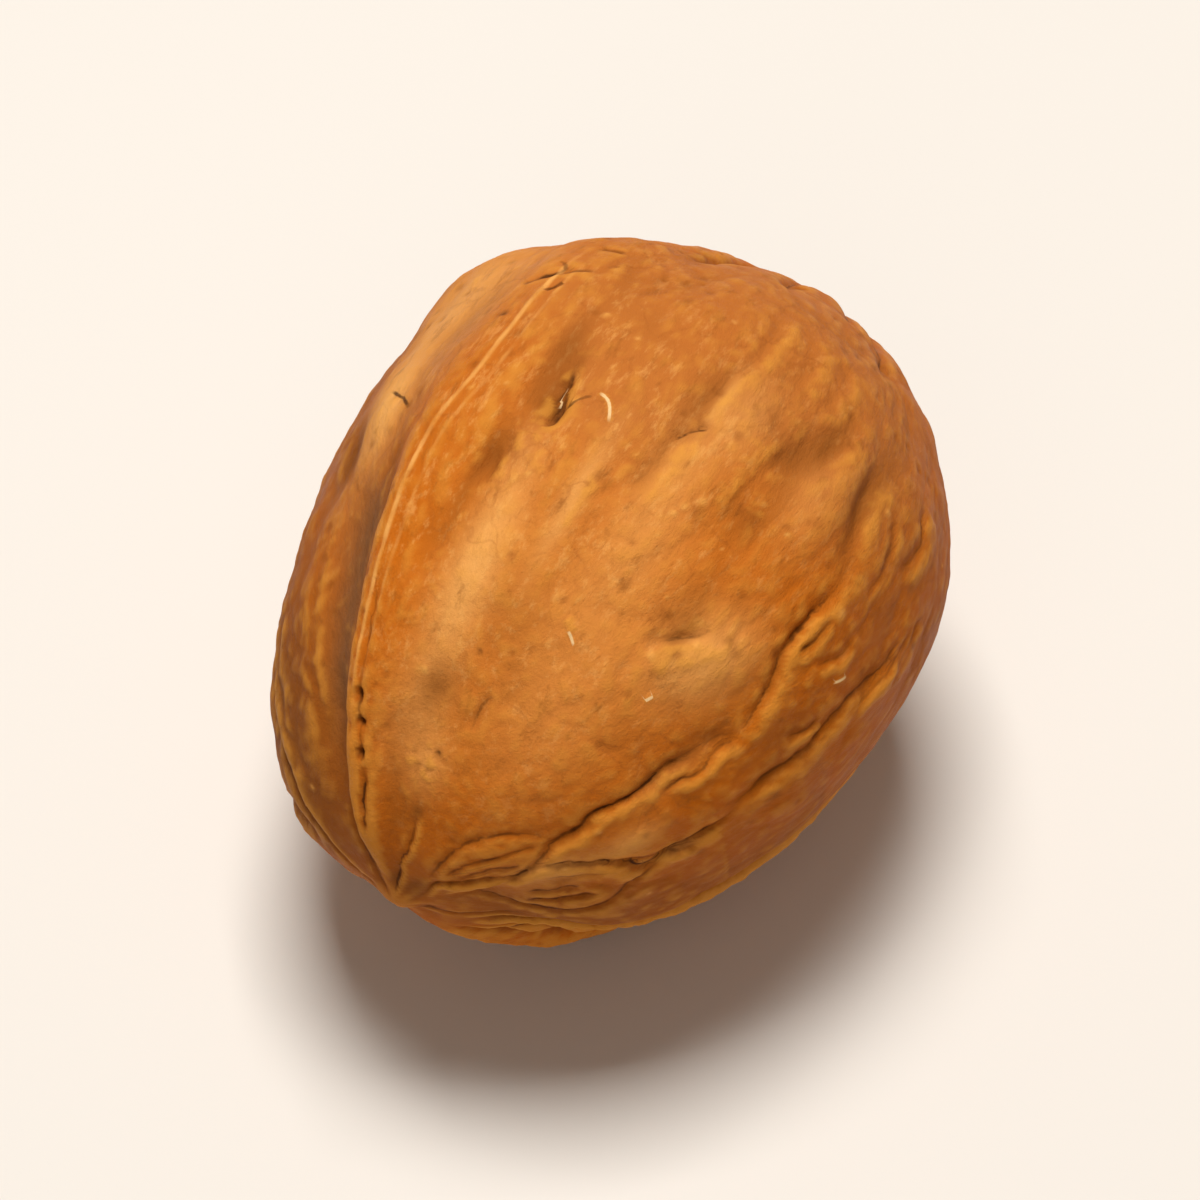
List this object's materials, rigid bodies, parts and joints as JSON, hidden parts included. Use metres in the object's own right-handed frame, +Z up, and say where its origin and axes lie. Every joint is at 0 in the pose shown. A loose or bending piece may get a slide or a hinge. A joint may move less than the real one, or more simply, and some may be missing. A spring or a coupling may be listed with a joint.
{
  "type": "walnut",
  "caption": "Whole walnut in its closed shell, lying on its side, with a raised seam, wandering grooves, a small pointed tip and a stem scar.",
  "frame": {"origin": "on the surface the nut lies on, under the middle of its box", "axes": "+Z up, the nut's length along Y with the pointed tip toward -Y and about 5 degrees down, the raised upper seam rolled about 28 degrees from +Z toward -X"},
  "size_m": [0.0348, 0.0432, 0.0348],
  "materials": {
    "shell": "satin"
  },
  "bodies": {
    "root": {"walnut": "shell"}
  },
  "joints": []
}
